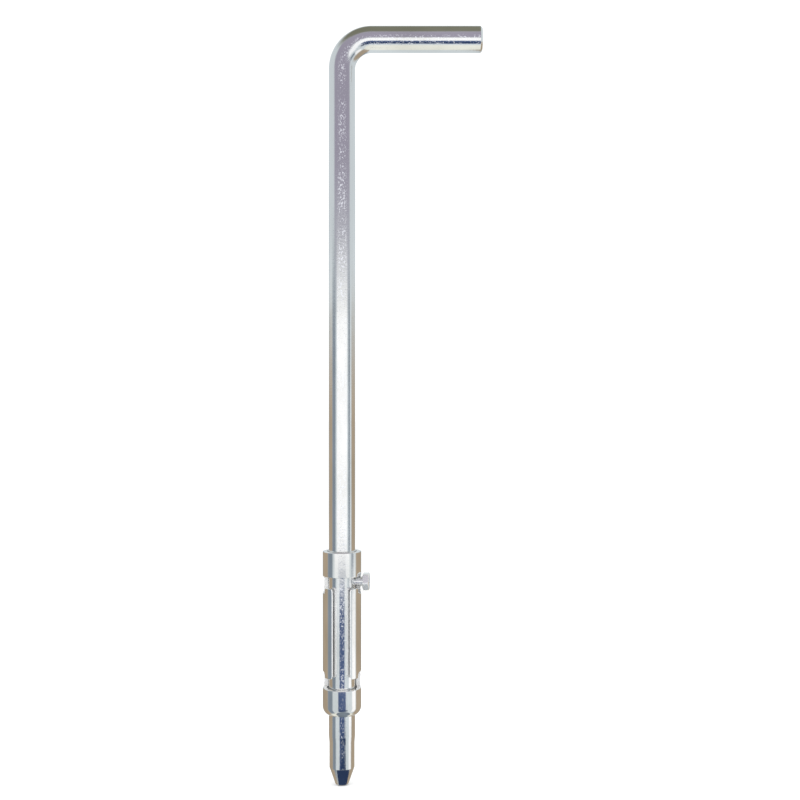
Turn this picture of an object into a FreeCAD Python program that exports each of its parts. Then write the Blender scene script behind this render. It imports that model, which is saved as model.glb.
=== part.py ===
import FreeCAD, Part
import math
import os

from FreeCAD import Vector

# Gate drop bolt with a weld-on guide. Millimetres.
# Every shape is built about the guide's axis, with height zero at the guide's lower end. +Z is up, the window
# faces -Y and the handle points along +X. Last, everything is moved so that the origin is where the guide is
# welded on: the middle of its back.

# Bar
bar_radius = 8.0
bar_top = 416.6
bend_radius = 18.0
handle_end = 85.0
handle_chamfer = 1.2
nose_radius = 7.65
nose_top = -17.0
taper_top = -13.0
cone_top = -32.0
tip_height = -42.3
tip_radius = 3.95
tip_rounding = 0.5

# Guide tube
guide_radius = 11.7
guide_bore_radius = 9.0
guide_length = 98.8
roll_outer_radius = 5.6
throat_radius = 8.3
throat_edge_break = 0.3
rim_inner_break = 0.4
rim_outer_break = 0.5

# Bayonet slot: two cross slots joined by a window in front
slot_height = 6.6
lower_slot_bottom = 16.2
upper_slot_bottom = 77.0
slot_end_y = 3.3
window_width = 10.3
flap_corner_radius = 2.0

# Seats in the slots' inner edges, their angle measured round from the front
seat_angle = 82.0
seat_width = 9.0
seat_depth = 3.5
seat_corner_radius = 2.0

# Stop screw, M6 x 16 with a hexagon head; its shank stands for the thread
screw_radius = 3.0
screw_length = 16.0
screw_end_chamfer = 0.6
head_under_radius = 12.7
head_across_flats = 10.0
head_height = 4.0
washer_face_radius = 4.6
washer_face_height = 0.3
head_top_radius = 4.75
head_chamfer_angle = 30.0
hex_turn = 6.6
# Angle round from the front at which the screw stands in its seat's line
screw_angle = 86.0
tapped_hole_depth = 12.0
drill_point_angle = 118.0

handle_height = bar_top - bar_radius
bend_start = handle_height - bend_radius
upper_slot_top = upper_slot_bottom + slot_height
lower_slot_top = lower_slot_bottom + slot_height
screw_height = upper_slot_bottom + slot_height / 2.0
# An angle round from the front becomes a turn from +X about +Z when 90 degrees are taken off
screw_azimuth = screw_angle - 90.0

ORIGIN = Vector(0, 0, 0)
X_AXIS = Vector(1, 0, 0)
Y_AXIS = Vector(0, 1, 0)
Z_AXIS = Vector(0, 0, 1)
# Cutters start or end this far outside the metal they cut
OVERCUT = 2.0


def line(start, end):
    """Straight edge between two points."""
    return Part.LineSegment(start, end).toShape()


def arc(start, middle, end):
    """Circular edge through three points."""
    return Part.Arc(start, middle, end).toShape()


def turned(points):
    """Solid of revolution about Z from (radius, height) corners joined by straight lines."""
    corners = [Vector(r, 0, z) for r, z in points]
    face = Part.Face(Part.makePolygon(corners + corners[:1]))
    return face.revolve(ORIGIN, Z_AXIS, 360)


def around(shape, azimuth):
    """Copy of a shape turned about the guide's axis."""
    copy = shape.copy()
    copy.rotate(ORIGIN, Z_AXIS, azimuth)
    return copy


def make_bar():
    """Round bar bent to an L, with a turned conical nose and a blind hole for the stop screw."""
    shank = turned(
        [
            (0, tip_height),
            (tip_radius, tip_height),
            (nose_radius, cone_top),
            (nose_radius, nose_top),
            (bar_radius, taper_top),
            (bar_radius, bend_start),
            (0, bend_start),
        ]
    )
    tip_edges = [e for e in shank.Edges if abs(e.BoundBox.ZMax - tip_height) < 0.01 and e.Closed]
    shank = shank.makeFillet(tip_rounding, tip_edges)

    section = Part.Face(Part.Wire(Part.makeCircle(bar_radius, Vector(0, 0, bend_start), Z_AXIS)))
    bend = section.revolve(Vector(bend_radius, 0, bend_start), Y_AXIS, 90)

    handle_start = Vector(bend_radius, 0, handle_height)
    chamfer_start = Vector(handle_end - handle_chamfer, 0, handle_height)
    handle = Part.makeCylinder(bar_radius, chamfer_start.x - handle_start.x, handle_start, X_AXIS)
    handle_tip = Part.makeCone(bar_radius, bar_radius - handle_chamfer, handle_chamfer, chamfer_start, X_AXIS)

    bar = shank.fuse([bend, handle, handle_tip]).removeSplitter()

    # The blind hole runs inwards from the surface and ends in a drill point
    hole_end = bar_radius - tapped_hole_depth
    point_length = screw_radius / math.tan(math.radians(drill_point_angle / 2.0))
    bottom = Vector(hole_end, 0, screw_height)
    hole = Part.makeCylinder(screw_radius, tapped_hole_depth + OVERCUT, bottom, X_AXIS)
    point = Part.makeCone(screw_radius, 0, point_length, bottom, -X_AXIS)
    return bar.cut(around(hole.fuse(point), screw_azimuth))


def make_guide_blank():
    """Tube turned about Z, with its lower end rolled in to a throat just over the bar."""
    roll_inner_radius = roll_outer_radius - (guide_radius - guide_bore_radius)
    roll_centre_r = guide_radius - roll_outer_radius
    lip_r = throat_radius + throat_edge_break
    roll_centre_z = math.sqrt(roll_outer_radius**2 - (lip_r - roll_centre_r) ** 2)
    throat_top = roll_centre_z - math.sqrt(roll_inner_radius**2 - (throat_radius - roll_centre_r) ** 2)

    def on_roll(radius, angle):
        """Point on the rolled end, the angle measured down from level."""
        a = math.radians(angle)
        return Vector(roll_centre_r + radius * math.cos(a), 0, roll_centre_z - radius * math.sin(a))

    outer_sweep = math.degrees(math.acos((lip_r - roll_centre_r) / roll_outer_radius))
    inner_sweep = math.degrees(math.acos((throat_radius - roll_centre_r) / roll_inner_radius))

    lip = Vector(lip_r, 0, 0)
    throat_bottom = Vector(throat_radius, 0, throat_edge_break)
    throat_end = Vector(throat_radius, 0, throat_top)
    bore_bottom = Vector(guide_bore_radius, 0, roll_centre_z)
    bore_top = Vector(guide_bore_radius, 0, guide_length - rim_inner_break)
    rim_inner = Vector(guide_bore_radius + rim_inner_break, 0, guide_length)
    rim_outer = Vector(guide_radius - rim_outer_break, 0, guide_length)
    side_top = Vector(guide_radius, 0, guide_length - rim_outer_break)
    side_bottom = Vector(guide_radius, 0, roll_centre_z)

    outline = Part.Wire(
        [
            line(lip, throat_bottom),
            line(throat_bottom, throat_end),
            arc(throat_end, on_roll(roll_inner_radius, inner_sweep / 2.0), bore_bottom),
            line(bore_bottom, bore_top),
            line(bore_top, rim_inner),
            line(rim_inner, rim_outer),
            line(rim_outer, side_top),
            line(side_top, side_bottom),
            arc(side_bottom, on_roll(roll_outer_radius, outer_sweep / 2.0), lip),
        ]
    )
    return Part.Face(outline).revolve(ORIGIN, Z_AXIS, 360)


def make_slot_cutter():
    """Both cross slots and the window between them, cut straight back from the front."""
    reach = guide_radius + OVERCUT
    half_window = window_width / 2.0
    r = flap_corner_radius
    bulge = r * (1.0 - math.sqrt(0.5))
    low_corner = lower_slot_top + r
    high_corner = upper_slot_bottom - r

    def at(x, z):
        """Point in the plane the cutter starts from."""
        return Vector(x, -reach, z)

    # The outline runs up the right side and back down the left; each flap corner is rounded
    edges = [
        line(at(-reach, lower_slot_bottom), at(reach, lower_slot_bottom)),
        line(at(reach, lower_slot_bottom), at(reach, lower_slot_top)),
        line(at(reach, upper_slot_bottom), at(reach, upper_slot_top)),
        line(at(reach, upper_slot_top), at(-reach, upper_slot_top)),
        line(at(-reach, upper_slot_top), at(-reach, upper_slot_bottom)),
        line(at(-reach, lower_slot_top), at(-reach, lower_slot_bottom)),
    ]
    for side in (1, -1):
        edge = side * half_window
        rounded = side * (half_window + r)
        middle = side * (half_window + bulge)
        edges += [
            line(at(side * reach, lower_slot_top), at(rounded, lower_slot_top)),
            arc(at(rounded, lower_slot_top), at(middle, lower_slot_top + bulge), at(edge, low_corner)),
            line(at(edge, low_corner), at(edge, high_corner)),
            arc(at(edge, high_corner), at(middle, upper_slot_bottom - bulge), at(rounded, upper_slot_bottom)),
            line(at(rounded, upper_slot_bottom), at(side * reach, upper_slot_bottom)),
        ]
    outline = Part.Wire(Part.__sortEdges__(edges))
    return Part.Face(outline).extrude(Vector(0, reach + slot_end_y, 0))


def make_seat_cutter(azimuth, edge_height, direction):
    """Radial cutter for a seat that goes up (+1) or down (-1) from a cross slot's edge."""
    inner = guide_bore_radius - OVERCUT
    length = guide_radius - inner + OVERCUT
    half_width = seat_width / 2.0
    bottom = edge_height - OVERCUT if direction > 0 else edge_height - seat_depth
    block = Part.makeBox(length, seat_width, seat_depth + OVERCUT, Vector(inner, -half_width, bottom))
    deep_end = edge_height + direction * seat_depth
    deep_edges = []
    for e in block.Edges:
        flat = e.BoundBox.YLength < 0.01 and e.BoundBox.ZLength < 0.01
        if flat and abs(e.BoundBox.ZMin - deep_end) < 0.01:
            deep_edges.append(e)
    return around(block.makeFillet(seat_corner_radius, deep_edges), azimuth)


def make_guide():
    """Weld-on guide with its bayonet slot."""
    cutters = [make_slot_cutter()]
    for angle in (seat_angle, -seat_angle):
        cutters.append(make_seat_cutter(angle - 90.0, lower_slot_top, 1))
        cutters.append(make_seat_cutter(angle - 90.0, upper_slot_bottom, -1))
    return make_guide_blank().cut(cutters)


def make_stop_screw():
    """Hexagon-head screw lying along +X, then turned to its place in the slot."""
    shank_start = Vector(screw_end_chamfer, 0, 0)
    shank = Part.makeCylinder(screw_radius, screw_length - screw_end_chamfer, shank_start, X_AXIS)
    end = Part.makeCone(screw_radius - screw_end_chamfer, screw_radius, screw_end_chamfer, ORIGIN, X_AXIS)
    underside = Vector(screw_length, 0, 0)
    washer_face = Part.makeCylinder(washer_face_radius, washer_face_height, underside, X_AXIS)

    corner_radius = head_across_flats / 2.0 / math.cos(math.radians(30))
    head_start = screw_length + washer_face_height
    corners = []
    for i in range(6):
        a = math.radians(hex_turn + 60 * i)
        corners.append(Vector(head_start, corner_radius * math.cos(a), corner_radius * math.sin(a)))
    hexagon = Part.Face(Part.makePolygon(corners + corners[:1]))
    head = hexagon.extrude(Vector(head_height - washer_face_height, 0, 0))
    # The outer face is chamfered all round by a cone
    chamfer_length = (corner_radius - head_top_radius) * math.tan(math.radians(head_chamfer_angle))
    cone_start = Vector(screw_length + head_height - chamfer_length, 0, 0)
    body = Part.makeCylinder(corner_radius, cone_start.x, ORIGIN, X_AXIS)
    crown = Part.makeCone(corner_radius, head_top_radius, chamfer_length, cone_start, X_AXIS)
    head = head.common(body.fuse(crown))

    screw = shank.fuse([end, washer_face, head]).removeSplitter()
    screw.translate(Vector(head_under_radius - screw_length, 0, screw_height))
    return around(screw, screw_azimuth)


os.makedirs("parts", exist_ok=True)
nodes = {
    "bolt_rod": make_bar(),
    "guide_tube": make_guide(),
    "stop_screw": make_stop_screw(),
}
weld_point = Vector(0, guide_radius, guide_length / 2.0)
for name, shape in nodes.items():
    solid = shape.Solids[0]
    solid.translate(-weld_point)
    print(name, len(shape.Solids), "solid", round(solid.Volume, 1), "mm3", "valid", solid.isValid())
    solid.exportStep("parts/" + name + ".step")
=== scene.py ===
import math

import bmesh
import bpy
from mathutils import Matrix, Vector
from mathutils.geometry import delaunay_2d_cdt


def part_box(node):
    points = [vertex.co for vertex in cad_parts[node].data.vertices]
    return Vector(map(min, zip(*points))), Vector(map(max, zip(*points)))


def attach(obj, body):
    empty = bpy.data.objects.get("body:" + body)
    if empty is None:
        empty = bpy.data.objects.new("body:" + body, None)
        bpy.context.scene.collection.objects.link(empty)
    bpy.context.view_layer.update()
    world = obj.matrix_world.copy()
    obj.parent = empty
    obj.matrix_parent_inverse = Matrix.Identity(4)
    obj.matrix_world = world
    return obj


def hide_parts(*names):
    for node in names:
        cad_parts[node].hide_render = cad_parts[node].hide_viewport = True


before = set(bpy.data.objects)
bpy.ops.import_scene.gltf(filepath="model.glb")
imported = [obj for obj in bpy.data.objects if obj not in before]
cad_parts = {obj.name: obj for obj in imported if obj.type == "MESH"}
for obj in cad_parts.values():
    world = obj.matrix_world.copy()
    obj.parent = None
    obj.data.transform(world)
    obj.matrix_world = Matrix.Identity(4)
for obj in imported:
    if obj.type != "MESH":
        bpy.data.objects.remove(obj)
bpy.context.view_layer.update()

# Gate drop bolt with a weld-on guide. Shapes are worked out in millimetres about the guide's axis,
# with height zero at the guide's lower end, then placed in the row frame in metres.
MM = 0.001

bar_low, bar_high = (Vector(corner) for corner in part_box("bolt_rod"))
guide_low, guide_high = (Vector(corner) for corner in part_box("guide_tube"))
screw_low, screw_high = (Vector(corner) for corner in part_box("stop_screw"))

base = Vector(((guide_low.x + guide_high.x) / 2, (guide_low.y + guide_high.y) / 2, guide_low.z))
bar_radius = (bar_high.y - bar_low.y) / 2 / MM
bar_top = (bar_high.z - base.z) / MM
handle_end = (bar_high.x - base.x) / MM
tip_height = (bar_low.z - base.z) / MM
guide_radius = (guide_high.x - guide_low.x) / 2 / MM
guide_length = (guide_high.z - guide_low.z) / MM
screw_height = ((screw_low.z + screw_high.z) / 2 - base.z) / MM

# Bar
bend_radius = 18.0
handle_chamfer = 1.2
nose_radius = 7.65
nose_top = -17.0
taper_top = -13.0
cone_top = -32.0
tip_radius = 3.95
tip_rounding = 0.6

# Guide
bore_radius = 9.0
roll_outer_radius = 5.6
throat_radius = 8.3
slot_height = 6.6
lower_slot_bottom = 16.2
upper_slot_bottom = 77.0
slot_end_y = 3.3
window_half = 5.15
flap_corner = 2.0
seat_angle = 82.0
seat_half = 4.5
seat_depth = 3.5
seat_corner = 2.0
edge_rounding = 0.4
window_rounding = 0.75
bore_rounding = 0.25
rim_rounding = 0.6

# Stop screw
screw_azimuth = -4.0
screw_radius = 3.0
screw_length = 16.0
head_under_radius = 12.7
head_across_flats = 10.0
head_height = 4.0
washer_radius = 4.6
washer_height = 0.3
head_top_radius = 4.75
head_chamfer_angle = 30.0
hex_turn = 6.6
thread_pitch = 1.0
thread_depth = 0.6
plain_from = 10.6
plain_run_out = 0.8
crest_flat = 0.12
flank_share = 0.72
crest_easing = 0.03
point_cone = 0.75


# ---------------------------------------------------------------- helpers

def place(point):
    """Millimetres about the guide's axis to metres in the row frame."""
    return base + Vector(point) * MM


def rounded(points, steps=4):
    """Polyline of (a, b, rounding) with each corner replaced by an arc of that radius."""
    result = []
    last = len(points) - 1
    for i, (a, b, radius) in enumerate(points):
        here = Vector((a, b))
        if radius <= 0 or i in (0, last):
            result.append(here)
            continue
        back = Vector(points[i - 1][:2]) - here
        ahead = Vector(points[i + 1][:2]) - here
        back_room = back.length
        ahead_room = ahead.length
        back.normalize()
        ahead.normalize()
        half = back.angle(ahead) / 2
        if half > math.radians(89):
            result.append(here)
            continue
        reach = min(radius / math.tan(half), back_room * 0.49, ahead_room * 0.49)
        start = here + back * reach
        end = here + ahead * reach
        for k in range(steps + 1):
            t = k / steps
            result.append(start * (1 - t) ** 2 + here * 2 * t * (1 - t) + end * t ** 2)
    return result


def make_object(name, points, faces, lay, edge, sharp_angle=None, cut=None):
    """Mesh object from millimetre points, with the attributes its material reads."""
    mesh = bpy.data.meshes.new(name)
    mesh.from_pydata([place(p) for p in points], [], faces)
    mesh.update()
    mesh.attributes.new("lay", "FLOAT_VECTOR", "POINT")
    mesh.attributes.new("edge", "FLOAT", "POINT")
    mesh.attributes["lay"].data.foreach_set("vector", [c for v in lay for c in v])
    mesh.attributes["edge"].data.foreach_set("value", edge)
    mesh.attributes.new("cut", "FLOAT", "POINT")
    mesh.attributes["cut"].data.foreach_set("value", cut or [0.0] * len(points))
    mesh.polygons.foreach_set("use_smooth", [True] * len(mesh.polygons))
    if sharp_angle:
        mesh.set_sharp_from_angle(angle=math.radians(sharp_angle))
    obj = bpy.data.objects.new(name, mesh)
    bpy.context.scene.collection.objects.link(obj)
    return obj


def join_loops(loop_a, loop_b, faces):
    """Quads between two closed loops of vertex numbers."""
    count = len(loop_a)
    for i in range(count):
        j = (i + 1) % count
        faces.append((loop_a[i], loop_a[j], loop_b[j], loop_b[i]))


# ---------------------------------------------------------------- bar

def make_bar():
    """Round bar with a turned nose, swept up the shank, round the bend and along the handle."""
    around_count = 128
    handle_height = bar_top - bar_radius
    bend_start = handle_height - bend_radius
    profile = rounded(
        [
            (0, tip_height, 0),
            (tip_radius, tip_height, tip_rounding),
            (nose_radius, cone_top, 0.8),
            (nose_radius, nose_top, 1.5),
            (bar_radius, taper_top, 1.5),
            (bar_radius, taper_top + 6, 0),
        ],
        steps=5,
    )
    up = Vector((0, 0, 1))
    right = Vector((1, 0, 0))
    back = Vector((0, 1, 0))
    # Each station: distance along the bar, centre, radial direction that starts at +X, radius
    stations = [(p.y, up * p.y, right, p.x) for p in profile[1:]]
    straight_from = profile[-1].y
    straight_steps = 60
    for k in range(1, straight_steps + 1):
        z = straight_from + (bend_start - straight_from) * k / straight_steps
        stations.append((z, up * z, right, bar_radius))
    bend_steps = 36
    for k in range(1, bend_steps + 1):
        b = math.pi / 2 * k / bend_steps
        centre = Vector((bend_radius * (1 - math.cos(b)), 0, bend_start + bend_radius * math.sin(b)))
        radial = Vector((math.cos(b), 0, -math.sin(b)))
        stations.append((bend_start + bend_radius * b, centre, radial, bar_radius))
    after_bend = bend_start + bend_radius * math.pi / 2
    end_profile = rounded(
        [
            (bar_radius, bend_radius, 0),
            (bar_radius, handle_end - handle_chamfer, 0.3),
            (bar_radius - handle_chamfer, handle_end, 0.35),
            (0, handle_end, 0),
        ],
        steps=4,
    )
    handle_steps = 12
    along = end_profile[1].y
    for k in range(1, handle_steps):
        x = bend_radius + (along - bend_radius) * k / handle_steps
        stations.append((after_bend + x - bend_radius, Vector((x, 0, handle_height)), -up, bar_radius))
    for p in end_profile[1:-1]:
        stations.append((after_bend + p.y - bend_radius, Vector((p.y, 0, handle_height)), -up, p.x))

    points, lay, edge, faces, rings = [], [], [], [], []
    for distance, centre, radial, radius in stations:
        ring = []
        for k in range(around_count):
            a = 2 * math.pi * k / around_count
            ring.append(len(points))
            points.append(centre + (radial * math.cos(a) + back * math.sin(a)) * radius)
            lay.append((radius * math.cos(a), radius * math.sin(a), distance))
            near_tip = 1.0 if abs(radius - tip_radius) < 0.8 and distance < cone_top else 0.0
            near_end = 1.0 if radius < bar_radius - 0.1 and distance > after_bend else 0.0
            edge.append(max(near_tip, near_end))
        rings.append(ring)
    for low, high in zip(rings, rings[1:]):
        join_loops(low, high, faces)
    tip_centre = len(points)
    points.append(up * tip_height)
    lay.append((0, 0, tip_height))
    edge.append(0)
    end_centre = len(points)
    points.append(Vector((handle_end, 0, handle_height)))
    lay.append((0, 0, after_bend + handle_end - bend_radius))
    edge.append(0)
    for i in range(around_count):
        j = (i + 1) % around_count
        faces.append((rings[0][j], rings[0][i], tip_centre))
        faces.append((rings[-1][i], rings[-1][j], end_centre))
    return make_object("drop_bolt_bar", points, faces, lay, edge, sharp_angle=40)


# ---------------------------------------------------------------- guide

def polar(radius, theta, z):
    """Point on a circle about the guide's axis, theta in radians from the front (-Y) towards +X."""
    return Vector((radius * math.sin(theta), -radius * math.cos(theta), z))


def slot_outline():
    """Closed edge of the cut-out as (outer angle, inner angle, height), clear of sharp corners."""
    lower_top = lower_slot_bottom + slot_height
    middle = (lower_top + upper_slot_bottom) / 2
    seat = math.radians(seat_angle)
    deep = lower_top + seat_depth

    def both(x):
        """Outer and inner angles at which a plane x = const meets the wall."""
        return math.asin(x / guide_radius), math.asin(min(x / bore_radius, 0.999))

    end_outer = math.pi / 2 + math.asin(slot_end_y / guide_radius)
    end_inner = math.pi / 2 + math.asin(slot_end_y / bore_radius)
    mouth_outer = seat - math.asin(seat_half / guide_radius)
    mouth_inner = max(seat - math.asin(seat_half / bore_radius), both(window_half + flap_corner)[1] + 0.10)
    corner = 0.45

    quarter = []
    # Along the slot's outer edge, from the middle of the front to the slot end
    steps = 40
    stop = end_outer - corner / guide_radius
    for k in range(steps):
        outer = stop * k / steps
        quarter.append((outer, outer * end_inner / end_outer, lower_slot_bottom))
    for k in range(4):
        a = math.pi / 2 * k / 3
        shift = corner * (1 - math.sin(a)) / guide_radius
        quarter.append((end_outer - shift, end_inner - shift, lower_slot_bottom + corner * (1 - math.cos(a))))
    # Up the flat slot end
    for k in range(1, 9):
        z = lower_slot_bottom + corner + (lower_top - 0.3 - lower_slot_bottom - corner) * k / 8
        quarter.append((end_outer, end_inner, z))

    def in_seat(across, z):
        """Point of the seat's edge, across measured round the guide from the seat's middle."""
        inner = seat + math.asin(across / bore_radius)
        quarter.append((seat + math.asin(across / guide_radius), min(max(inner, mouth_inner), end_inner), z))

    # Up the back of the seat, over its two rounded corners and down its front
    straight = seat_half - seat_corner
    in_seat(seat_half, lower_top + 0.3)
    in_seat(seat_half, deep - seat_corner)
    for k in range(1, 7):
        a = math.pi / 2 * k / 6
        in_seat(straight + seat_corner * math.cos(a), deep - seat_corner + seat_corner * math.sin(a))
    for k in range(1, 8):
        in_seat(straight - 2 * straight * k / 8, deep)
    for k in range(0, 7):
        a = math.pi / 2 * k / 6
        in_seat(-straight - seat_corner * math.sin(a), deep - seat_corner + seat_corner * math.cos(a))
    # Small rounding where the seat runs out into the slot's edge
    ease = 0.5
    for k in range(5):
        t = k / 4
        z = lower_top + ease * (1 - t) ** 2
        run_out = ease * t ** 2
        quarter.append((mouth_outer - run_out / guide_radius, mouth_inner - run_out / bore_radius, z))
    # Along the flap's end, round its corner, and up the window's side
    flap_outer, flap_inner = both(window_half + flap_corner)
    steps = 5
    for k in range(1, steps + 1):
        t = k / steps
        start_outer = mouth_outer - ease / guide_radius
        start_inner = mouth_inner - ease / bore_radius
        quarter.append((start_outer + (flap_outer - start_outer) * t,
                        start_inner + (flap_inner - start_inner) * t, lower_top))
    steps = 7
    for k in range(1, steps + 1):
        a = math.pi / 2 * k / steps
        x = window_half + flap_corner * (1 - math.sin(a))
        outer, inner = both(x)
        quarter.append((outer, inner, lower_top + flap_corner * (1 - math.cos(a))))
    steps = 14
    for k in range(1, steps + 1):
        outer, inner = both(window_half)
        z = lower_top + flap_corner + (middle - lower_top - flap_corner) * k / steps
        quarter.append((outer, inner, z))

    upper = [(o, i, 2 * middle - z) for o, i, z in reversed(quarter[:-1])]
    right = quarter + upper
    left = [(-o, -i, z) for o, i, z in reversed(right) if o > 1e-6]
    return right + left


def inside(point, loop):
    """Whether a 2-D point is inside a closed loop."""
    x, y = point
    hit = False
    for i in range(len(loop)):
        ax, ay = loop[i]
        bx, by = loop[i - 1]
        if (ay > y) != (by > y) and x < (bx - ax) * (y - ay) / (by - ay) + ax:
            hit = not hit
    return hit


def gap_to(point, loop):
    """Distance from a 2-D point to a closed loop."""
    best = 1e9
    x, y = point
    for i in range(len(loop)):
        ax, ay = loop[i - 1]
        bx, by = loop[i]
        dx, dy = bx - ax, by - ay
        size = dx * dx + dy * dy
        t = 0 if size == 0 else max(0, min(1, ((x - ax) * dx + (y - ay) * dy) / size))
        best = min(best, math.hypot(x - ax - dx * t, y - ay - dy * t))
    return best


def make_guide():
    """Tube with a rolled-in lower end and a bayonet slot, every cut edge softened."""
    count = 120
    outline = slot_outline()
    total = len(outline)
    bore_matt = 1.0
    # The window's sides are eased more than the other edges
    beside_window = math.asin((window_half + 0.4) / guide_radius)
    slot_top = lower_slot_bottom + slot_height
    outer_soft = []
    for theta, _, z in outline:
        in_window = abs(theta) < beside_window and slot_top < z < upper_slot_bottom
        outer_soft.append(window_rounding if in_window else edge_rounding)
    for _ in range(3):
        outer_soft = [
            (outer_soft[i - 1] + outer_soft[i] + outer_soft[(i + 1) % total]) / 3 for i in range(total)
        ]

    points, normals, lay, edge, cut, faces = [], [], [], [], [], []

    def add(point, normal, edge_value=0.0, cut_value=0.0):
        """New vertex, returning its number."""
        points.append(point)
        normals.append(normal)
        lay.append(tuple(point))
        edge.append(edge_value)
        cut.append(cut_value)
        return len(points) - 1

    def offset_loop(radius, which, distance):
        """The outline moved into the metal on the surface of that radius, unrolled flat."""
        flat = [Vector((radius * p[which], p[2])) for p in outline]
        moved = []
        for i in range(total):
            a = flat[i] - flat[i - 1]
            b = flat[(i + 1) % total] - flat[i]
            if a.length < 1e-6:
                a = b.copy()
            if b.length < 1e-6:
                b = a.copy()
            tangent = a.normalized() + b.normalized()
            tangent.normalize()
            # The loop runs counter-clockwise seen from outside, so the metal is on its right
            moved.append(flat[i] + Vector((tangent.y, -tangent.x)) * distance[i])
        return moved

    soft_outer = offset_loop(guide_radius, 0, outer_soft)
    soft_inner = offset_loop(bore_radius, 1, [bore_rounding] * total)

    # Loops of vertices through the wall, from the outside surface to the bore
    loops = [[] for _ in range(10)]
    for i in range(total):
        theta_outer, theta_inner, z = outline[i]
        outer_point = polar(guide_radius, theta_outer, z)
        inner_point = polar(bore_radius, theta_inner, z)
        before = outline[i - 1]
        after = outline[(i + 1) % total]
        tangent = polar(guide_radius, after[0], after[2]) - polar(guide_radius, before[0], before[2])
        through = (inner_point - outer_point).normalized()
        wall = tangent.cross(through).normalized()
        soft_o = polar(guide_radius, soft_outer[i].x / guide_radius, soft_outer[i].y)
        soft_i = polar(bore_radius, soft_inner[i].x / bore_radius, soft_inner[i].y)
        # The wall faces the opening, away from the softened edge
        if wall.dot(soft_o - outer_point) > 0:
            wall = -wall
        out = Vector((math.sin(theta_outer), -math.cos(theta_outer), 0))
        inward = Vector((-math.sin(theta_inner), math.cos(theta_inner), 0))
        wall_o = outer_point + through * outer_soft[i]
        # Upright sheared faces are left matt
        matt = 1.0 if abs(wall.z) < 0.8 else 0.0
        wall_i = inner_point - through * bore_rounding
        loops[0].append(add(soft_o, Vector((soft_o.x, soft_o.y, 0)), 0.5, 0.0))
        for step, t in enumerate((0.3, 0.5, 0.7)):
            where = soft_o * (1 - t) ** 2 + outer_point * 2 * t * (1 - t) + wall_o * t ** 2
            loops[1 + step].append(add(where, out * (1 - t) + wall * t, 1.0, matt * min(1.0, t * 1.8)))
        loops[4].append(add(wall_o, wall, 0.5, matt))
        loops[5].append(add(wall_i, wall, 0.5, matt))
        for step, t in enumerate((0.3, 0.5, 0.7)):
            where = wall_i * (1 - t) ** 2 + inner_point * 2 * t * (1 - t) + soft_i * t ** 2
            loops[6 + step].append(add(where, wall * (1 - t) + inward * t, 1.0, matt))
        loops[9].append(add(soft_i, inward, 0.5, bore_matt))
    for first, second in zip(loops, loops[1:]):
        join_loops(first, second, faces)

    # Outside and bore surfaces, triangulated flat and rolled up
    roll_centre_r = guide_radius - roll_outer_radius
    lip_r = throat_radius + 0.3
    bottom = math.sqrt(roll_outer_radius ** 2 - (lip_r - roll_centre_r) ** 2)
    top = guide_length - rim_rounding
    low_line = lower_slot_bottom - 1.2
    high_line = upper_slot_bottom + slot_height + 1.2
    heights = [bottom, bottom + 2.5, (bottom + 2.5 + low_line) / 2]
    heights += [low_line + (high_line - low_line) * k / 18 for k in range(19)]
    heights += [high_line + 4.0, high_line + 8.5, top]
    rings = {}
    for name, radius, soft, loop_ids, sign in (
        ("outer", guide_radius, soft_outer, loops[0], 1),
        ("inner", bore_radius, soft_inner, loops[9], -1),
    ):
        hole = [(p.x, p.y) for p in soft]
        coords = [Vector(p) for p in hole]
        ids = list(loop_ids)
        constraints = [(i, (i + 1) % total) for i in range(total)]
        seam = {}
        ring_low, ring_high = [], []
        for k in range(count + 1):
            theta = -math.pi + 2 * math.pi * k / count
            for z in heights:
                flat = (radius * theta, z)
                if k == count:
                    coords.append(Vector(flat))
                    ids.append(seam[z])
                    continue
                if z not in (bottom, top) and (inside(flat, hole) or gap_to(flat, hole) < 0.3):
                    continue
                facing_out = Vector((math.sin(theta), -math.cos(theta), 0)) * sign
                number = add(polar(radius, theta, z), facing_out, 0.0, bore_matt if sign < 0 else 0.0)
                if k == 0:
                    seam[z] = number
                coords.append(Vector(flat))
                ids.append(number)
                if z == bottom:
                    ring_low.append(number)
                if z == top:
                    ring_high.append(number)
        found = delaunay_2d_cdt(coords, constraints, [], 0, 1e-5, True)
        verts, _, triangles, origin = found[0], found[1], found[2], found[3]
        for triangle in triangles:
            middle = (verts[triangle[0]] + verts[triangle[1]] + verts[triangle[2]]) / 3
            if inside((middle.x, middle.y), hole):
                continue
            face = [ids[origin[v][0]] for v in triangle]
            if len(set(face)) < 3:
                continue
            a, b, c = (points[v] for v in face)
            facing = (b - a).cross(c - a).dot(Vector((a.x, a.y, 0)))
            if facing * sign < 0:
                face.reverse()
            faces.append(tuple(face))
        rings[name] = (ring_low, ring_high)

    def lathe_strip(profile, start_ring, end_ring):
        """Rings turned about the axis from one surface's border to the other's."""
        previous = start_ring
        for r, z, nr, nz, e in profile:
            ring = []
            for k in range(count):
                theta = -math.pi + 2 * math.pi * k / count
                radial = Vector((math.sin(theta), -math.cos(theta), 0))
                ring.append(add(polar(r, theta, z), radial * nr + Vector((0, 0, nz)), e))
            join_loops(previous, ring, faces)
            previous = ring
        join_loops(previous, end_ring, faces)

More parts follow.
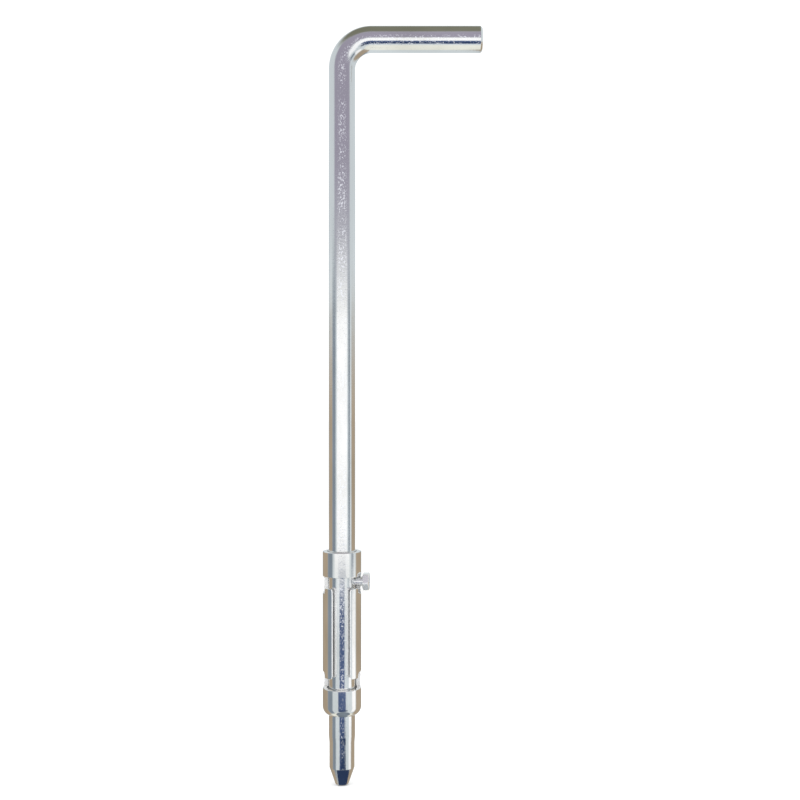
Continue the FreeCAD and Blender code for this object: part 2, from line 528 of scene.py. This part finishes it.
    # Upper rim: softened outside, flat, softened into the bore
    rim = []
    for k in range(1, 6):
        a = math.pi / 2 * k / 5
        r = guide_radius - rim_rounding * (1 - math.cos(a))
        rim.append((r, top + rim_rounding * math.sin(a), math.cos(a), math.sin(a), 1.0))
    for k in range(0, 5):
        a = math.pi / 2 * k / 5
        r = bore_radius + rim_rounding * (1 - math.sin(a))
        rim.append((r, top + rim_rounding * math.cos(a), -math.sin(a), math.cos(a), 1.0))
    lathe_strip(rim, rings["outer"][1], rings["inner"][1])

    # Lower end: rolled in to the throat, then back up into the bore
    inner_roll = roll_outer_radius - (guide_radius - bore_radius)
    outer_sweep = math.acos((lip_r + 0.25 - roll_centre_r) / roll_outer_radius)
    inner_sweep = math.acos((throat_radius - roll_centre_r) / inner_roll)
    roll = []
    for k in range(1, 17):
        a = outer_sweep * k / 16
        r = roll_centre_r + roll_outer_radius * math.cos(a)
        roll.append((r, bottom - roll_outer_radius * math.sin(a), math.cos(a), -math.sin(a), 0.0))
    lip_z = roll[-1][1]
    roll.append((lip_r, lip_z - 0.06, 0.2, -1, 1.0))
    roll.append((throat_radius + 0.1, lip_z + 0.1, -0.6, -0.8, 1.0))
    roll.append((throat_radius, lip_z + 0.35, -1, 0, 0.5))
    for k in range(0, 8):
        a = inner_sweep * (1 - k / 8)
        r = roll_centre_r + inner_roll * math.cos(a)
        roll.append((r, bottom - inner_roll * math.sin(a), -math.cos(a), math.sin(a), 0.0))
    lathe_strip(roll, rings["outer"][0], rings["inner"][0])

    guide = make_object("weld_on_guide", points, faces, lay, edge, cut=cut)
    # Consistent winding first, then the worked-out normals
    work = bmesh.new()
    work.from_mesh(guide.data)
    bmesh.ops.recalc_face_normals(work, faces=work.faces)
    work.to_mesh(guide.data)
    work.free()
    guide.data.polygons.foreach_set("use_smooth", [True] * len(guide.data.polygons))
    guide.data.normals_split_custom_set_from_vertices([n.normalized() for n in normals])
    return guide


# ---------------------------------------------------------------- stop screw

def make_screw():
    """Hexagon-head screw with a true thread, lying along its own axis and turned to its place."""
    azimuth = math.radians(screw_azimuth)
    axis = Vector((math.cos(azimuth), math.sin(azimuth), 0))
    side = Vector((-math.sin(azimuth), math.cos(azimuth), 0))
    up = Vector((0, 0, 1))
    origin = axis * (head_under_radius - screw_length) + up * screw_height

    points, lay, edge, faces = [], [], [], []

    def add_ring(outline, along, edge_value=0.0):
        """Ring of (radius, angle) pairs at a distance along the screw."""
        ring = []
        for radius, a in outline:
            ring.append(len(points))
            distance = along[len(ring) - 1] if isinstance(along, list) else along
            centre = origin + axis * distance
            points.append(centre + side * (radius * math.cos(a)) + up * (radius * math.sin(a)))
            lay.append((radius * math.cos(a), radius * math.sin(a), distance))
            edge.append(edge_value)
        return ring

    # Thread
    steps_round = 48
    steps_pitch = 14
    rings = []
    angles = [2 * math.pi * k / steps_round for k in range(steps_round)]
    stations = int(screw_length / thread_pitch * steps_pitch)
    for s in range(stations + 1):
        distance = screw_length * s / stations
        outline = []
        for a in angles:
            phase = (distance / thread_pitch - a / (2 * math.pi)) % 1.0
            rise = abs(phase - 0.5) * 2
            depth = thread_depth * max(0.0, min(1.0, (rise - crest_flat) / flank_share))
            plain = max(0.0, min(1.0, (distance - plain_from) / plain_run_out))
            radius = screw_radius - crest_easing - depth * (1 - plain)
            # Lead-in cone at the point
            radius = min(radius, screw_radius - point_cone + distance)
            outline.append((radius, a))
        rings.append(add_ring(outline, distance))
    for low, high in zip(rings, rings[1:]):
        join_loops(low, high, faces)
    point_centre = len(points)
    points.append(origin.copy())
    lay.append((0, 0, 0))
    edge.append(0)
    for i in range(steps_round):
        j = (i + 1) % steps_round
        faces.append((rings[0][j], rings[0][i], point_centre))

    # Head outline: hexagon with slightly rounded corners
    corner_radius = head_across_flats / 2 / math.cos(math.radians(30))
    corner_angles = [math.radians(60 * k) for k in range(6)]
    hexagon = [Vector((corner_radius * math.cos(a), corner_radius * math.sin(a))) for a in corner_angles]
    outline = []
    per_side = 12
    for k in range(6):
        before, here, after = hexagon[k - 1], hexagon[k], hexagon[(k + 1) % 6]
        into = (before - here).normalized() * 0.6
        out_of = (after - here).normalized() * 0.6
        for step in range(5):
            t = step / 4
            outline.append((here + into) * (1 - t) ** 2 + here * 2 * t * (1 - t) + (here + out_of) * t ** 2)
        for step in range(1, per_side):
            outline.append((here + out_of).lerp(after - out_of, step / per_side))
    turn = math.radians(hex_turn)
    polar_outline = [(p.length, math.atan2(p.y, p.x) + turn) for p in outline]
    amount = len(outline)

    def circle(radius):
        """Round ring matched to the hexagon's vertices."""
        return [(radius, a) for _, a in polar_outline]

    def scaled(shrink):
        """Hexagon ring drawn in a little."""
        return [(r - shrink, a) for r, a in polar_outline]

    start = screw_length
    slope = math.tan(math.radians(head_chamfer_angle))
    top = start + head_height
    crown = [top - max(0.0, r - head_top_radius) * slope for r, _ in polar_outline]
    soft = 0.14
    head_rings = [
        add_ring(circle(screw_radius - 0.5), start - 0.001),
        add_ring(circle(washer_radius - 0.1), start, 0.4),
        add_ring(circle(washer_radius), start + 0.1, 0.8),
        add_ring(circle(washer_radius), start + washer_height, 0.0),
        add_ring(scaled(0.12), start + washer_height, 0.5),
        add_ring(scaled(0.03), start + washer_height + 0.04, 1.0),
        add_ring(scaled(0.0), start + washer_height + 0.14, 0.5),
        add_ring(scaled(0.0), [c - soft for c in crown], 0.3),
        add_ring(scaled(0.03), [c - soft * 0.35 + 0.01 for c in crown], 1.0),
        add_ring(scaled(0.10), [c + 0.03 for c in crown], 0.6),
    ]
    rim = [(min(r - soft, head_top_radius + 0.08), a) for r, a in polar_outline]
    rim_along = [top - max(0.0, r - head_top_radius) * slope - 0.004 for r, _ in rim]
    head_rings.append(add_ring(rim, rim_along, 0.8))
    head_rings.append(add_ring(circle(head_top_radius - 0.12), top, 0.6))
    head_rings.append(add_ring(circle(head_top_radius - 0.3), top, 0.2))
    head_rings.append(add_ring(circle(2.2), top, 0.0))
    for low, high in zip(head_rings, head_rings[1:]):
        join_loops(low, high, faces)
    centre = len(points)
    points.append(origin + axis * top)
    lay.append((0, 0, top))
    edge.append(0)
    for i in range(amount):
        j = (i + 1) % amount
        faces.append((head_rings[-1][i], head_rings[-1][j], centre))
    return make_object("stop_screw_hex", points, faces, lay, edge, sharp_angle=50)


# ---------------------------------------------------------------- materials

def srgb(red, green, blue):
    """0-255 display values to scene-linear."""
    result = []
    for value in (red, green, blue):
        v = value / 255
        result.append(v / 12.92 if v <= 0.04045 else ((v + 0.055) / 1.055) ** 2.4)
    return result


class Nodes:
    """Short spelling for building a node tree."""

    def __init__(self, tree):
        self.tree = tree
        tree.nodes.clear()

    def new(self, kind, settings=None, **inputs):
        """Node with properties from settings and inputs from names; underscores stand for spaces."""
        node = self.tree.nodes.new(kind)
        for key, value in (settings or {}).items():
            setattr(node, key, value)
        for key, value in inputs.items():
            name = int(key[1:]) if key[0] == "i" and key[1:].isdigit() else key.replace("_", " ")
            socket = node.inputs[name]
            if isinstance(value, bpy.types.NodeSocket):
                self.tree.links.new(value, socket)
            else:
                socket.default_value = value
        return node

    def maths(self, operation, a, b=0.0, clamp=False):
        """Maths node's result."""
        return self.new("ShaderNodeMath", {"operation": operation, "use_clamp": clamp}, i0=a, i1=b).outputs[0]

    def noise(self, vector, scale, detail=2.0, roughness=0.5):
        """Noise value."""
        node = self.new("ShaderNodeTexNoise", None, Vector=vector, Scale=scale, Detail=detail,
                        Roughness=roughness)
        return node.outputs[0]

    def remap(self, value, low, high, to_low=0.0, to_high=1.0, smooth=False):
        """Map Range result."""
        kind = "SMOOTHSTEP" if smooth else "LINEAR"
        node = self.new("ShaderNodeMapRange", {"interpolation_type": kind},
                        Value=value, From_Min=low, From_Max=high, To_Min=to_low, To_Max=to_high)
        return node.outputs[0]

    def stretched(self, vector, scale):
        """Vector with each axis scaled."""
        node = self.new("ShaderNodeVectorMath", {"operation": "MULTIPLY"}, i0=vector, i1=scale)
        return node.outputs[0]

    def mix(self, factor, a, b, blend="MIX"):
        """Colour mix."""
        node = self.tree.nodes.new("ShaderNodeMix")
        node.data_type = "RGBA"
        node.blend_type = blend
        for socket, value in ((node.inputs[0], factor), (node.inputs[6], a), (node.inputs[7], b)):
            if isinstance(value, bpy.types.NodeSocket):
                self.tree.links.new(value, socket)
            elif socket.type == "RGBA":
                socket.default_value = (*value, 1.0)
            else:
                socket.default_value = value
        return node.outputs[2]


# Finish of the zinc plate, with the tone of its painted glints
rubbed_tone = (0.97, 0.965, 0.95)
cut_tone = (0.98, 0.98, 0.97)
# Painted glints: pale bluish flecks that stand in for highlights
painted_glint_tone = (0.86, 0.90, 0.99)
painted_glint_from = 0.53
painted_glint_full = 0.66
matt_roughness = 0.35
matt_metal = 0.25


def zinc(name, tint, grain, streaks, roughness, painted_glints, body=1.0, painted_shade_zone=None):
    """Bright zinc plate: faint cloudiness, fine pitting, drawn streaks, rubbed edges and painted glints, and
    where asked a stretch of painted shade.
    """
    material = bpy.data.materials.new(name)
    material.use_nodes = True
    n = Nodes(material.node_tree)
    lay = n.new("ShaderNodeAttribute", {"attribute_name": "lay"}).outputs["Vector"]
    worn = n.new("ShaderNodeAttribute", {"attribute_name": "edge"}).outputs["Fac"]
    cut = n.new("ShaderNodeAttribute", {"attribute_name": "cut"}).outputs["Fac"]

    cloud = n.noise(n.stretched(lay, (0.10, 0.10, 0.03)), 1.0, 3.0)
    # Slopes mostly along the piece, so that mirrored stripes stay straight
    fine = n.noise(n.stretched(lay, (0.30, 0.30, 0.80)), 1.0, 2.0, 0.6)
    coarse = n.noise(n.stretched(lay, (0.30, 0.30, 0.16)), 1.0, 2.0)
    drawn = n.noise(n.stretched(lay, (1.6, 1.6, 0.035)), 1.0, 3.0, 0.6)
    specks = n.remap(n.noise(lay, 1.5, 1.0), 0.60, 0.74)

    pale = [min(1.0, c * 1.04) for c in tint]
    dull = [tint[0] * 0.90, tint[1] * 0.90, tint[2] * 0.885]
    colour = n.mix(n.remap(cloud, 0.35, 0.65), dull, pale)
    colour = n.mix(n.maths("MULTIPLY", specks, 0.20), colour, [c * 0.62 for c in tint])
    rubbed = n.maths("MULTIPLY", worn, n.remap(coarse, 0.35, 0.7, 0.2, 0.8))
    colour = n.mix(rubbed, colour, rubbed_tone)

    rough = n.remap(drawn, 0.3, 0.7, roughness * 0.75, roughness * 1.3)
    # Painted shade: a stretch along the piece is painted darker, in patches, and also made a little rougher
    if painted_shade_zone:
        along = n.new("ShaderNodeSeparateXYZ", None, Vector=lay).outputs[2]
        fade_in = n.remap(along, painted_shade_zone[0], painted_shade_zone[1], smooth=True)
        fade_out = n.remap(along, painted_shade_zone[2], painted_shade_zone[3], 1.0, 0.0, smooth=True)
        patchy = n.remap(n.noise(n.stretched(lay, (0.3, 0.3, 0.02)), 1.0, 3.0), 0.3, 0.7, 0.7, 1.0)
        painted_shade_and_dullness = n.maths("MULTIPLY", n.maths("MULTIPLY", fade_in, fade_out), patchy)
        colour = n.mix(painted_shade_and_dullness, colour, [c * 0.88 for c in tint])
        rough = n.maths("ADD", rough, n.maths("MULTIPLY", painted_shade_and_dullness, 0.05))
    rough = n.maths("ADD", rough, n.maths("MULTIPLY", specks, 0.12))
    rough = n.maths("ADD", rough, n.maths("MULTIPLY", worn, 0.05))

    # Grain comes and goes along the piece
    busy = n.remap(n.noise(n.stretched(lay, (0.12, 0.12, 0.05)), 1.0, 2.0), 0.35, 0.65, 0.45, 1.25)
    height = n.maths("MULTIPLY", n.maths("MULTIPLY", fine, grain), busy)
    height = n.maths("ADD", height, n.maths("MULTIPLY", coarse, grain))
    height = n.maths("ADD", height, n.maths("MULTIPLY", drawn, streaks))
    height = n.maths("SUBTRACT", height, n.maths("MULTIPLY", specks, grain * 0.5))
    bump = n.new("ShaderNodeBump", None, Strength=1.0, Distance=0.001, Height=height).outputs[0]
    # Painted glints: pale, bluish matt flecks that stand in for sparkling highlights, gathered in patches,
    # drawn out along the piece and kept to faces turned towards the viewer
    painted_glint = n.noise(n.stretched(lay, (1.30, 1.30, 0.75)), 1.0, 2.0, 0.6)
    gathered = n.remap(n.noise(n.stretched(lay, (0.20, 0.20, 0.07)), 1.0, 1.0), 0.30, 0.70, -0.05, 0.05)
    painted_glint = n.remap(n.maths("ADD", painted_glint, gathered), painted_glint_from, painted_glint_full, 0.0, painted_glints, smooth=True)
    turned = n.new("ShaderNodeLayerWeight", None, Blend=0.5).outputs["Facing"]
    painted_glint = n.maths("MULTIPLY", painted_glint, n.remap(turned, 0.02, 0.10, 1.0, 0.0, smooth=True))
    matt_and_glint_parts = n.maths("MAXIMUM", cut, painted_glint)
    colour = n.mix(painted_glint, colour, painted_glint_tone)
    colour = n.mix(cut, colour, cut_tone)
    rough = n.maths("ADD", rough, n.maths("MULTIPLY", matt_and_glint_parts, matt_roughness))
    metal = n.remap(matt_and_glint_parts, 0.0, 1.0, body, matt_metal)
    shader = n.new("ShaderNodeBsdfPrincipled", None, Base_Color=colour, Metallic=metal, Roughness=rough,
                   Normal=bump)
    n.new("ShaderNodeOutputMaterial", None, Surface=shader.outputs[0])
    return material


bar = make_bar()
guide = make_guide()
screw = make_screw()

# Every look gets painted glints; the bar's also has painted shade, a stretch along its upper part painted
# darker
bar_look = zinc("bar_zinc_look", tint=(0.93, 0.935, 0.94), grain=0.026, streaks=0.005, roughness=0.06,
                painted_glints=0.50, painted_shade_zone=(240, 300, 400, 425))
guide_look = zinc("guide_zinc_look", tint=(0.93, 0.93, 0.925), grain=0.012, streaks=0.003, roughness=0.06,
                  painted_glints=0.16)
screw_look = zinc("screw_zinc_look", tint=(0.95, 0.955, 0.96), grain=0.020, streaks=0.003, roughness=0.20,
                  painted_glints=0.20, body=0.75)

for obj, node, body, slot_name, look in (
    (bar, "bolt_rod", "bolt", "bar_zinc", bar_look),
    (guide, "guide_tube", "guide", "guide_zinc", guide_look),
    (screw, "stop_screw", "bolt", "screw_zinc", screw_look),
):
    obj.data.materials.append(look)
    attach(obj, body)
    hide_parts(node)


# ---------------------------------------------------------------- studio

camera_distance = 730.0 * MM
camera_side = 35.15 * MM
camera_height = 190.1 * MM
camera_point = Vector((base.x + camera_side, base.y - camera_distance, base.z + camera_height))
camera_data = bpy.data.cameras.new("camera")
camera_data.sensor_width = 36.0
camera_data.lens = 54.2
camera_data.clip_start = 0.01
camera_data.clip_end = 20.0
camera = bpy.data.objects.new("camera", camera_data)
camera.location = camera_point
camera.rotation_euler = (math.radians(90), 0, 0)
bpy.context.scene.collection.objects.link(camera)
bpy.context.scene.camera = camera

# The studio round the object: cards seen only in reflections, drawn on a shell. Angles run from the
# camera's direction towards +X and elevations up from level, both seen from the shell's centre.
shell_radius = 1.0
camera_turn = math.degrees(math.atan2(camera_side, camera_distance))
tones = {
    "white": (250, 250, 250),
    "cream": (230, 230, 220),
    "pale": (205, 212, 215),
    "slate": (125, 135, 145),
    "navy": (80, 95, 130),
    "ink": (45, 60, 90),
    "brown": (165, 150, 130),
    "lilac": (155, 150, 165),
    "olive": (120, 120, 105),
}
shell_glow = 1.1
sky_glow = 1.12
all_round = 400
side_boards = 125
back_posts = 160

# Each card: tone, middle angle, width, lowest and highest elevation, blur of its edges, all in degrees.
# A later card stands in front of an earlier one.
cards = [
    ("cream", 0, all_round, -100, -58, 10),     # floor
    ("olive", 0, all_round, 56, 100, 20),       # roof
    ("brown", -side_boards, 70, -60, 5, 14),    # boards on the left
    ("brown", side_boards, 70, -60, 5, 14),     # boards on the right
    ("slate", -back_posts, 10, -26, 20, 8),     # post behind, left
    ("slate", back_posts, 10, -26, 20, 8),      # post behind, right
    ("lilac", 0, 140, 12, 60, 18),              # awning over the camera
    ("white", 0, 90, -15, 10, 10),              # window behind the camera
    ("slate", -75, 35, -60, 10, 12),            # dark wall on the left
    ("slate", 65, 15, -15, 10, 8),              # narrow post on the right
    ("white", 75, 25, -45, -15, 8),             # white board low on the right
    ("navy", 0, 45, -45, -15, 6),               # bench below the camera
    ("ink", 10, 50, -40, -27, 8),               # shadow under the bench
]


def make_shell():
    """Sphere seen only in reflections, coloured by direction from its centre."""
    centre = Vector((base.x, base.y, camera_point.z))
    mesh = bpy.data.meshes.new("reflection_shell")
    work = bmesh.new()
    bmesh.ops.create_uvsphere(work, u_segments=96, v_segments=48, radius=shell_radius)
    work.to_mesh(mesh)
    work.free()
    mesh.polygons.foreach_set("use_smooth", [True] * len(mesh.polygons))
    shell = bpy.data.objects.new("reflection_shell", mesh)
    shell.location = centre
    bpy.context.scene.collection.objects.link(shell)
    for flag in ("visible_camera", "visible_diffuse", "visible_transmission", "visible_volume_scatter",
                 "visible_shadow"):
        setattr(shell, flag, False)

    material = bpy.data.materials.new("reflection_shell")
    material.use_nodes = True
    material.cycles.emission_sampling = "NONE"
    n = Nodes(material.node_tree)
    where = n.new("ShaderNodeTexCoord").outputs["Object"]
    parts = n.new("ShaderNodeSeparateXYZ", None, Vector=where).outputs
    turn = n.maths("ARCTAN2", parts[0], n.maths("MULTIPLY", parts[1], -1.0))
    turn = n.maths("ADD", n.maths("DIVIDE", turn, 2 * math.pi), 0.5 - camera_turn / 360 + 1.0)
    turn = n.maths("FRACT", turn)
    rise = n.maths("MULTIPLY", n.maths("ARCSINE", n.maths("DIVIDE", parts[2], shell_radius)), 180 / math.pi)
    colour = srgb(*tones["pale"])
    for tone, middle, width, low, high, blur in cards:
        from_middle = n.maths("FRACT", n.maths("ADD", turn, 1.0 - middle / 360))
        away = n.maths("MULTIPLY", n.maths("ABSOLUTE", n.maths("SUBTRACT", from_middle, 0.5)), 360.0)
        across = n.remap(away, (width - blur) / 2, (width + blur) / 2, 1.0, 0.0, smooth=True)
        above = n.remap(rise, low - blur / 2, low + blur / 2, smooth=True)
        below = n.remap(rise, high - blur / 2, high + blur / 2, 1.0, 0.0, smooth=True)
        cover = n.maths("MULTIPLY", across, n.maths("MULTIPLY", above, below))
        colour = n.mix(cover, colour, srgb(*tones[tone]))
    glow = n.new("ShaderNodeEmission", None, Color=colour, Strength=shell_glow)
    n.new("ShaderNodeOutputMaterial", None, Surface=glow.outputs[0])
    mesh.materials.append(material)
    return shell


def make_floor():
    """Plain pale floor just under the tip."""
    half = 12.0
    level = bar_low.z - 0.0005
    mesh = bpy.data.meshes.new("studio_floor")
    corners = [(-half, -half), (half, -half), (half, half), (-half, half)]
    mesh.from_pydata([Vector((base.x + x, base.y + y, level)) for x, y in corners], [], [(0, 1, 2, 3)])
    floor = bpy.data.objects.new("studio_floor", mesh)
    bpy.context.scene.collection.objects.link(floor)
    floor.visible_glossy = False
    material = bpy.data.materials.new("studio_floor")
    material.use_nodes = True
    n = Nodes(material.node_tree)
    where = n.new("ShaderNodeTexCoord").outputs["Object"]
    tone = n.remap(n.noise(where, 3.0, 2.0), 0.3, 0.7, 0.93, 0.95)
    pale = n.new("ShaderNodeCombineColor", None, i0=tone, i1=tone, i2=tone).outputs[0]
    shader = n.new("ShaderNodeBsdfDiffuse", None, Color=pale)
    n.new("ShaderNodeOutputMaterial", None, Surface=shader.outputs[0])
    mesh.materials.append(material)
    return floor


def make_dark_card():
    """Oval in front of the tip, seen only in reflections from close by: dark nearest, slate farther off."""
    mesh = bpy.data.meshes.new("dark_card")
    steps = 64
    half_width = 48.0 * MM
    half_depth = 64.0 * MM
    ray_reach = 250.0 * MM
    ink_within = 52.0 * MM
    slate_beyond = 66.0 * MM
    centre = Vector((base.x, base.y, bar_low.z)) + Vector((12, -50, -30)) * MM
    ring = []
    for k in range(steps):
        a = 2 * math.pi * k / steps
        ring.append(centre + Vector((math.cos(a) * half_width, math.sin(a) * half_depth, 0)))
    mesh.from_pydata(ring, [], [tuple(range(steps))])
    card = bpy.data.objects.new("dark_card", mesh)
    bpy.context.scene.collection.objects.link(card)
    for flag in ("visible_camera", "visible_diffuse", "visible_transmission", "visible_shadow"):
        setattr(card, flag, False)
    material = bpy.data.materials.new("dark_card")
    material.use_nodes = True
    material.cycles.emission_sampling = "NONE"
    n = Nodes(material.node_tree)
    distance = n.new("ShaderNodeLightPath").outputs["Ray Length"]
    far = n.maths("GREATER_THAN", distance, ray_reach)
    farther = n.remap(distance, ink_within, slate_beyond)
    tone = n.mix(farther, srgb(*tones["ink"]), srgb(*tones["slate"]))
    glow = n.new("ShaderNodeEmission", None, Color=tone, Strength=1.0)
    clear = n.new("ShaderNodeBsdfTransparent")
    both = n.new("ShaderNodeMixShader", None, i0=far, i1=glow.outputs[0], i2=clear.outputs[0])
    n.new("ShaderNodeOutputMaterial", None, Surface=both.outputs[0])
    mesh.materials.append(material)
    return card


def make_light(name, where, aim, size, power):
    """Soft square lamp that is not itself mirrored."""
    data = bpy.data.lights.new(name, "AREA")
    data.shape = "SQUARE"
    data.size = size
    data.energy = power
    lamp = bpy.data.objects.new(name, data)
    lamp.location = where
    lamp.rotation_euler = (Vector(aim) - Vector(where)).to_track_quat("-Z", "Y").to_euler()
    lamp.visible_glossy = False
    bpy.context.scene.collection.objects.link(lamp)
    return lamp


world = bpy.data.worlds.new("white_studio")
world.use_nodes = True
world_nodes = Nodes(world.node_tree)
sky = world_nodes.new("ShaderNodeBackground", None, Color=(1.0, 1.0, 1.0, 1.0), Strength=sky_glow)
world_nodes.new("ShaderNodeOutputWorld", None, Surface=sky.outputs[0])
bpy.context.scene.world = world
bpy.context.scene.view_settings.view_transform = "Standard"

make_shell()
make_floor()
make_dark_card()
make_light("key_lamp", (-0.5, -0.6, 0.9), aim=(0, 0, 0), size=0.7, power=4.0)
make_light("fill_lamp", (0.7, -0.3, 0.8), aim=(0, 0, 0), size=0.7, power=3.0)
